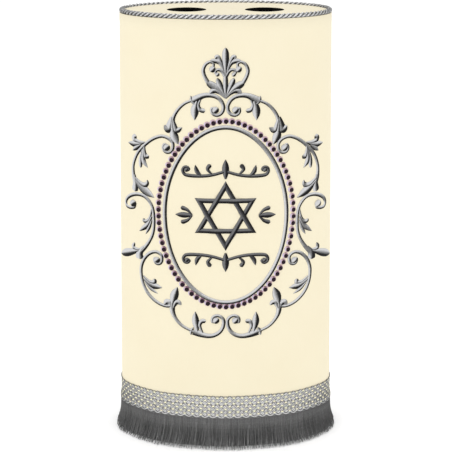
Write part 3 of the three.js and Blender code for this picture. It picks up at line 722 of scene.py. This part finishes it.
silver_stitch = stitched_thread("silver stitch", colour(0.015, 0.015, 0.015),
                                colour(0.24, 0.24, 0.24), colour(0.62, 0.62, 0.63), 0.03)
SCROLLS = {
    "crown": {
        "stems": [((16.6, 592.3), 5.8, 30, -210, 6.5, 12.5,
                   [(4, 600.5), (9, 609.5), (17, 615), (28, 617), (38, 615.5), (47.5, 611), (55, 606.5)],
                   [(0, 3.6), (0.3, 4.6), (0.6, 5.5), (0.8, 7), (1, 11)])],
        "shoots": [([(53, 608.5), (67.5, 602.5), (78.5, 593), (86.5, 581), (90, 568.5), (89.5, 557.5)],
                    [(0, 3.5), (0.7, 5), (1, 9)])],
        "leaves": [("pointed", 5, (50, 600.5), (56, 607), (58, 615.5)),
                   ("pointed", 11, (47.5, 607), (51, 592), (51.5, 574.5)),
                   ("hooked", 6.3, (41.5, 609), (45, 600.5), (42, 592.5), (34, 590.5)),
                   ("lip", 8, (88.5, 573.5), (83.5, 556.5), (73.5, 561.5)),
                   ("lip", 12, (90.5, 578), (96, 558), (105, 563)),
                   ("pointed", 11.5, (89.5, 560.5), (87.5, 547.5), (80, 532.5))],
    },
    "shoulder": {
        "stems": [((100.5, 526), 5.8, 60, -240, 6.5, 11,
                   [(90, 534.5), (97, 541.5), (109, 544.5), (122.5, 540.5), (135, 533), (148, 522.3),
                    (159.5, 511), (167.3, 498), (171.5, 485), (170.8, 470), (167, 459.5)],
                   [(0, 3.6), (0.3, 4.8), (0.6, 4.8), (0.85, 4.6), (1, 7)])],
        "shoots": [],
        "leaves": [("hooked", 8.2, (143.5, 530.5), (156, 529.8), (165.7, 531.6), (168, 536),
                    (162.5, 539)),
                   ("pointed", 9, (147, 529.5), (165, 525), (185, 525.2)),
                   ("pointed", 7.2, (152, 526), (163.6, 519), (172.5, 513)),
                   ("hooked", 7, (144.5, 524), (144, 513), (141, 507), (135.5, 508.5)),
                   ("pointed", 7.5, (146.5, 520), (147.3, 500.5), (137.5, 487.5)),
                   ("blunt", 6, (149, 518), (153, 502), (153.3, 486)),
                   ("lip", 8, (167, 467), (155, 458.5), (145.5, 456.5), (139.5, 460.5), (139, 466.5)),
                   ("hooked", 10, (168.5, 472), (166.5, 458), (168, 443)),
                   ("pointed", 12, (166, 461.5), (149, 450.5), (125, 437.5))],
    },
    "flank": {
        "stems": [((172.2, 421), 6.2, 205, 50, 4.6, 7,
                   [(180.8, 412), (190.8, 413), (194.6, 419.5), (189.1, 427.5), (176.9, 434.6),
                    (161.5, 438.6), (147, 437.6), (137, 431.4), (129.8, 421.3), (126.8, 409.3),
                    (126.2, 395.6), (127.2, 381.7), (130.5, 370.1), (136.3, 359.6), (144.9, 348.5),
                    (154.5, 339)],
                   [(0, 3.8), (0.12, 5), (0.3, 5.6), (0.6, 4.6), (0.85, 4.5), (1, 6.5)])],
        "shoots": [],
        "leaves": [("hooked", 5.6, (130.5, 418), (134, 403), (139.5, 395.5), (146, 394), (149, 398)),
                   ("pointed", 7.5, (130.8, 404), (139.2, 389), (149.6, 380.5), (158.5, 374.5)),
                   ("pointed", 4.8, (130.5, 398), (136, 384.6), (144, 371)),
                   ("hooked", 12.5, (148, 348), (155, 340), (158.5, 333), (158, 325)),
                   ("lip", 6.5, (158, 342.5), (167.1, 341), (173.7, 344), (170, 352)),
                   ("pointed", 11.5, (160, 340), (183, 332.5), (223, 320.5))],
    },
    "foot": {
        "stems": [((120.6, 329), 5.4, 30, -210, 5.6, 9,
                   [(112.5, 338), (122, 343), (135, 339), (147, 328), (154.3, 313.5), (155.2, 299),
                    (151.7, 284), (143.3, 270), (130.3, 258.5), (116.2, 251.5), (103.2, 249),
                    (93.2, 251)],
                   [(0, 3.6), (0.3, 5), (0.7, 5.2), (1, 4.4)]),
                  ((16.4, 229), 5.8, -30, 210, 6.5, 13,
                   [(4.5, 217.5), (10.5, 208), (20.5, 202.2), (31.5, 201), (43.5, 203.5), (55, 208)],
                   [(0, 3.6), (0.3, 4.6), (0.6, 5.5), (0.8, 7), (1, 11)])],
        "shoots": [([(53, 206.5), (73.2, 215.2), (85.2, 226.2), (92.2, 239.5), (93.2, 255)],
                    [(0, 3.5), (0.6, 5), (1, 9)])],
        "leaves": [("hooked", 6.5, (150.2, 296), (137.2, 288.5), (127.2, 288.5), (126.7, 294.5)),
                   ("pointed", 10, (149.2, 291), (131.2, 283), (111.2, 281)),
                   ("pointed", 5, (148.2, 289), (135.2, 277), (119.2, 269)),
                   ("lip", 7.5, (91.2, 247), (87, 256.5), (81.7, 258), (76.7, 253.5)),
                   ("lip", 9.5, (93, 243), (97, 254), (102.5, 256.3), (108, 251)),
                   ("pointed", 11.5, (93.2, 253), (89.2, 269), (83.2, 285)),
                   ("pointed", 5, (60.2, 201.5), (59.2, 208.5), (55.2, 215.5)),
                   ("pointed", 10, (48.2, 208.5), (51.7, 226.5), (52.2, 243.5)),
                   ("hooked", 6.5, (39.5, 206.5), (44.5, 219), (41, 226.5), (34, 227.5))],
    },
}
for scroll, parts in SCROLLS.items():
    for suffix, side in (("right", 1), ("left", -1)):
        work = new_work()
        for row in parts["stems"]:
            stem(work, *row, side=side)
        for line, widths in parts["shoots"]:
            stitched_ridge(work, spline(line, STEM_STEP), broader(widths), RELIEF, side)
        for row in parts["leaves"]:
            leaf(work, *row, side=side)
        close_up(work)
        lay_round(work, True)
        piece = made_piece(f"{scroll}_scroll_{suffix}", work, silver_stitch)
        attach(piece, "root")
        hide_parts(f"scroll_{scroll}_{suffix}")

# Crest: a palmette above the medallion in the same raised silver stitch. Its leaves and volutes are
# worked in pairs, alike left and right, with two tall leaves in line in the middle.
CREST_LEAVES = [("hooked", 5.4, (2, 656), (6.5, 669), (10.5, 678), (14, 681), (17, 678)),
                ("blunt", 6.5, (2, 654), (10, 671), (25, 674.5)),
                ("blunt", 7.6, (1, 615.5), (8, 631), (14, 645)),
                ("blunt", 10, (1, 614.5), (14, 628), (31, 638.5)),
                ("blunt", 7.5, (1, 613), (10, 622), (19, 625), (26, 620))]
CREST_VOLUTES = [((21.5, 660), 5.4,
                  [(29, 638), (34.5, 648), (36.8, 658), (33, 667.5), (25.5, 672), (20, 669.5),
                   (20, 664)]),
                 ((13.5, 651.5), 3.6, [(1, 649), (5, 656), (11, 659.5), (16.5, 657), (16, 653)])]
work = new_work()
for side in (1, -1):
    for row in CREST_LEAVES:
        leaf(work, *row, side=side)
    for eye, radius, line in CREST_VOLUTES:
        widths = broader([(0, 5.5), (0.5, 4.6), (1, 3.6)])
        stitched_ridge(work, spline(line, STEM_STEP), widths, RELIEF, side)
        boss(work, eye, radius, side)
leaf(work, "pointed", 7, (0, 611.5), (0, 635), (0, 662))
leaf(work, "blunt", 9.4, (0, 648), (0, 674), (0, 695))
close_up(work)
lay_round(work, True)
crest = made_piece("palmette", work, silver_stitch)
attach(crest, "root")
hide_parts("crest")

# Medallion ring: one padded band of silver satin stitch, worked over a raised core in an upright oval
# round the middle of the front.
RING_MIDDLE, RING_HALF_WIDTH, RING_HALF_HEIGHT, RING_WIDTH = 412.3, 105.4, 151, 7.6
RING_SLIMMER, RING_STEPS = 0.019, 300


def upright_oval(middle, half_width, half_height, slimmer, count, upright=1.0):
    """Even steps round an upright oval whose upper half is slimmer by that share between its top and
    its sides; upright is how much the steps up and down count."""
    turns = np.linspace(0, 2 * math.pi, 721)
    reach = 1 - slimmer * np.sin(2 * turns) ** 2 * (np.cos(turns) > 0)
    points = np.stack([half_width * reach * np.sin(turns),
                       middle + half_height * reach * np.cos(turns)], 1)
    steps = np.diff(points, axis=0) * (1, upright)
    run = np.concatenate([[0], np.cumsum(np.linalg.norm(steps, axis=1))])
    even = np.linspace(0, run[-1], count, endpoint=False)
    return np.stack([np.interp(even, run, points[:, axis]) for axis in (0, 1)], 1)


work = new_work()
ring_path = upright_oval(RING_MIDDLE, RING_HALF_WIDTH, RING_HALF_HEIGHT, RING_SLIMMER, RING_STEPS)
stitched_ridge(work, ring_path, [(0, RING_WIDTH), (1, RING_WIDTH)], RELIEF, closed=True)
close_up(work)
lay_round(work, True)
ring = made_piece("oval_ring", work, silver_stitch)
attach(ring, "root")
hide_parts("medallion_ring")

# Stones: seventy-eight faceted glass stones, dark plum at heart with a pink edge on their outer side,
# with a painted lilac highlight on their left and the dark heart set towards the lower right as painted
# shade. Each is held in a thin cup that is sewn down just outside the ring.
STONES = 78
STONE_RADIUS = 5.5
STONES_MIDDLE, STONES_HALF_WIDTH, STONES_HALF_HEIGHT = 414.2, 117.6, 160.2
STONES_SLIMMER, STONES_UPRIGHT = 0.028, 0.905
STONE_SIDES = 12
work = new_work()
shade = work.verts.layers.float["shade"]
for x, y in upright_oval(STONES_MIDDLE, STONES_HALF_WIDTH, STONES_HALF_HEIGHT, STONES_SLIMMER, STONES,
                         STONES_UPRIGHT):
    seat = Vector((x, y))
    # Painted shade: the dark heart is set towards the lower right.
    heart = seat + Vector((0.75, -0.75))
    outward = Vector((x / STONES_HALF_WIDTH ** 2, (y - STONES_MIDDLE) / STONES_HALF_HEIGHT ** 2))
    outward.normalize()
    cup, crown, table = (
        bmesh.ops.create_cone(work, cap_ends=True, segments=STONE_SIDES, radius1=wide * STONE_RADIUS,
                              radius2=narrow * STONE_RADIUS, depth=depth,
                              matrix=Matrix.Translation((*middle, height)))["verts"]
        for wide, narrow, depth, middle, height in (
            (1.0, 0.96, 1.0, seat, 0.3), (0.94, 0.62, 0.9, seat, 1.2), (0.7, 0.56, 0.5, heart, 1.85)))
    for corner in (*cup, *crown):
        away = (corner.co.xy - seat) / STONE_RADIUS
        # Painted highlight: the side of each stone towards the left is painted lilac-white.
        rosy, lilac_highlight = away.dot(outward), away.dot(Vector((-1.0, 0.1)))
        corner[shade] = min(1.0, max(0.26, 0.38 + 0.3 * rosy, 0.2 + 0.95 * lilac_highlight))
    for corner in table:
        corner[shade] = 0.0
bmesh.ops.recalc_face_normals(work, faces=work.faces)
lay_round(work, True)
plum = Paint("plum glass", {"Roughness": 0.15, "Specular IOR Level": 0.15, "Coat Weight": 0.05})
facing = plum.shade()
stops = [(0.0, colour(0.01, 0.002, 0.007)), (0.16, colour(0.08, 0.02, 0.06)),
         (0.4, colour(0.38, 0.24, 0.29)), (0.7, colour(0.58, 0.43, 0.48)),
         (1.0, colour(0.62, 0.58, 0.82))]
plum.drive("Base Color", plum.node("ShaderNodeValToRGB", {"stops": stops}, {0: facing}))
stones = made_piece("plum_stones", work, plum, smooth=False)
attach(stones, "root")

# Star: two triangles of dark grey satin stitch over a raised core, in the middle of the medallion. They
# are laced over and under each other, and their points are mitred.
STAR_RADIUS, STAR_WIDTH = 52.0, 8.5
STAR_STEPS = 48
LACING_RISE, LACING_REACH = 1.9, 0.13  # of a side where it passes over, and the share of it that rises
dark_stitch = stitched_thread("dark stitch", colour(0.012, 0.012, 0.013), colour(0.05, 0.05, 0.053),
                              colour(0.17, 0.17, 0.175), 0.05)


def star_point(degrees):
    angle = math.radians(degrees)
    return np.array((STAR_RADIUS * math.cos(angle), RING_MIDDLE + STAR_RADIUS * math.sin(angle)))


def lacing(share):
    """Each side passes over the other triangle a third of the way along."""
    away = min(1.0, abs(share - 1 / 3) / LACING_REACH)
    return LACING_RISE * max(0.0, math.cos(away * math.pi / 2)) ** 1.2


work = new_work()
for first in (90, 210, 330, 270, 30, 150):
    start, end = star_point(first), star_point(first + 120)
    line = [start + (end - start) * share for share in np.linspace(0, 1, STAR_STEPS + 1)]
    # The triangle is walked anticlockwise, so its inside is on the left, and the mitre is negative.
    stitched_ridge(work, line, [(0, STAR_WIDTH), (1, STAR_WIDTH)], LEAF_RELIEF, mitre=-math.sqrt(3),
                   lift=lacing)
close_up(work)
lay_round(work, True)
star = made_piece("laced_star", work, dark_stitch)
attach(star, "root")
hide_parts("centre_star")

# Dividers: a bud between two long scrolls in dark grey stitch, above the star and turned over below it.
# Sprigs: three dark leaves on each side of the star.
DIVIDER_OFFSET = 76.0
DIVIDER_STEM = ((66, 2), 3.8, 180, -270, 4.5, 9, [(52, -8), (36, -7.5), (20, -5), (3, 0)],
                [(0, 3.2), (0.4, 5), (1, 4)])
DIVIDER_LEAVES = [("pointed", 9.5, (0, -12), (0, 4), (0, 21)),
                  ("hooked", 6, (22, -5), (30, 4), (25, 12)),
                  ("pointed", 6, (40, -8), (48, 0), (51, 11))]
SPRIG_LEAVES = [("pointed", 8, (56, 0), (70, 0), (86, 0)), ("hooked", 6, (57, 1), (65, 9), (76, 13)),
                ("hooked", 6, (57, -1), (65, -9), (76, -13))]


def raised_to(points, middle, up=1):
    return [(x, middle + up * y) for x, y in points]


for name, up in (("upper", 1), ("lower", -1)):
    middle = RING_MIDDLE + up * DIVIDER_OFFSET
    eye, radius, start, turn, first, last, bow, widths = DIVIDER_STEM
    work = new_work()
    for side in (1, -1):
        stem(work, *raised_to([eye], middle, up), radius, up * start, up * turn, first, last,
             raised_to(bow, middle, up), widths, side)
        for outline, width, *line in DIVIDER_LEAVES:
            if line[0][0] or side > 0:
                leaf(work, outline, width, *raised_to(line, middle, up), side=side)
    close_up(work)
    lay_round(work, True)
    piece = made_piece(f"bud_divider_{name}", work, dark_stitch)
    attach(piece, "root")
    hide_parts(f"divider_{name}")
for suffix, side in (("right", 1), ("left", -1)):
    work = new_work()
    for outline, width, *line in SPRIG_LEAVES:
        leaf(work, outline, width, *raised_to(line, RING_MIDDLE), side=side)
    close_up(work)
    lay_round(work, True)
    piece = made_piece(f"leaf_sprig_{suffix}", work, dark_stitch)
    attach(piece, "root")
    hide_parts(f"sprig_{suffix}")

# Stage: a white floor under an even white sky, with one broad soft lamp from the upper left, as for a
# catalogue picture.
FLOOR_HALF_WIDTH = 6.0
SKY_STRENGTH = 1.06
work = bmesh.new()
bmesh.ops.create_grid(work, x_segments=1, y_segments=1, size=FLOOR_HALF_WIDTH)
floor_mesh = bpy.data.meshes.new("floor")
work.to_mesh(floor_mesh)
work.free()
floor = bpy.data.objects.new("floor", floor_mesh)
bpy.context.scene.collection.objects.link(floor)
floor_paint = Paint("white floor", {"Base Color": colour(0.97, 0.97, 0.97), "Roughness": 0.9,
                                    "Specular IOR Level": 0.0, "Emission Color": colour(1, 1, 1),
                                    "Emission Strength": 0.2})
floor_mesh.materials.append(floor_paint.material)

sky = bpy.data.worlds.new("studio")
bpy.context.scene.world = sky
sky.use_nodes = True
sky.node_tree.nodes["Background"].inputs["Color"].default_value = colour(1, 1, 1)
sky.node_tree.nodes["Background"].inputs["Strength"].default_value = SKY_STRENGTH


def soft_lamp(name, place, target, size, power):
    lamp = bpy.data.lights.new(name, "AREA")
    lamp.shape, lamp.size, lamp.energy = "DISK", size, power
    stand = bpy.data.objects.new(name, lamp)
    stand.location = place
    stand.rotation_euler = (Vector(target) - Vector(place)).to_track_quat("-Z", "Y").to_euler()
    bpy.context.scene.collection.objects.link(stand)


soft_lamp("broad lamp", (-1.6, -2.6, 2.6), (0, 0, 0.38), 1.6, 4.0)
bpy.context.scene.view_settings.view_transform = "Standard"

# Camera: fitted to the photograph's outlines. It has a long lens, stands 2.6 m in front and looks down a
# little.
camera_data = bpy.data.cameras.new("camera")
camera_data.sensor_width, camera_data.lens = 36.0, 122.19
camera_data.clip_start, camera_data.clip_end = 0.1, 60.0
camera = bpy.data.objects.new("camera", camera_data)
camera.location = (0.0007, -2.6117, 1.0421)
camera.rotation_euler = (math.radians(90 - 14.53), 0, 0)
bpy.context.scene.collection.objects.link(camera)
bpy.context.scene.camera = camera
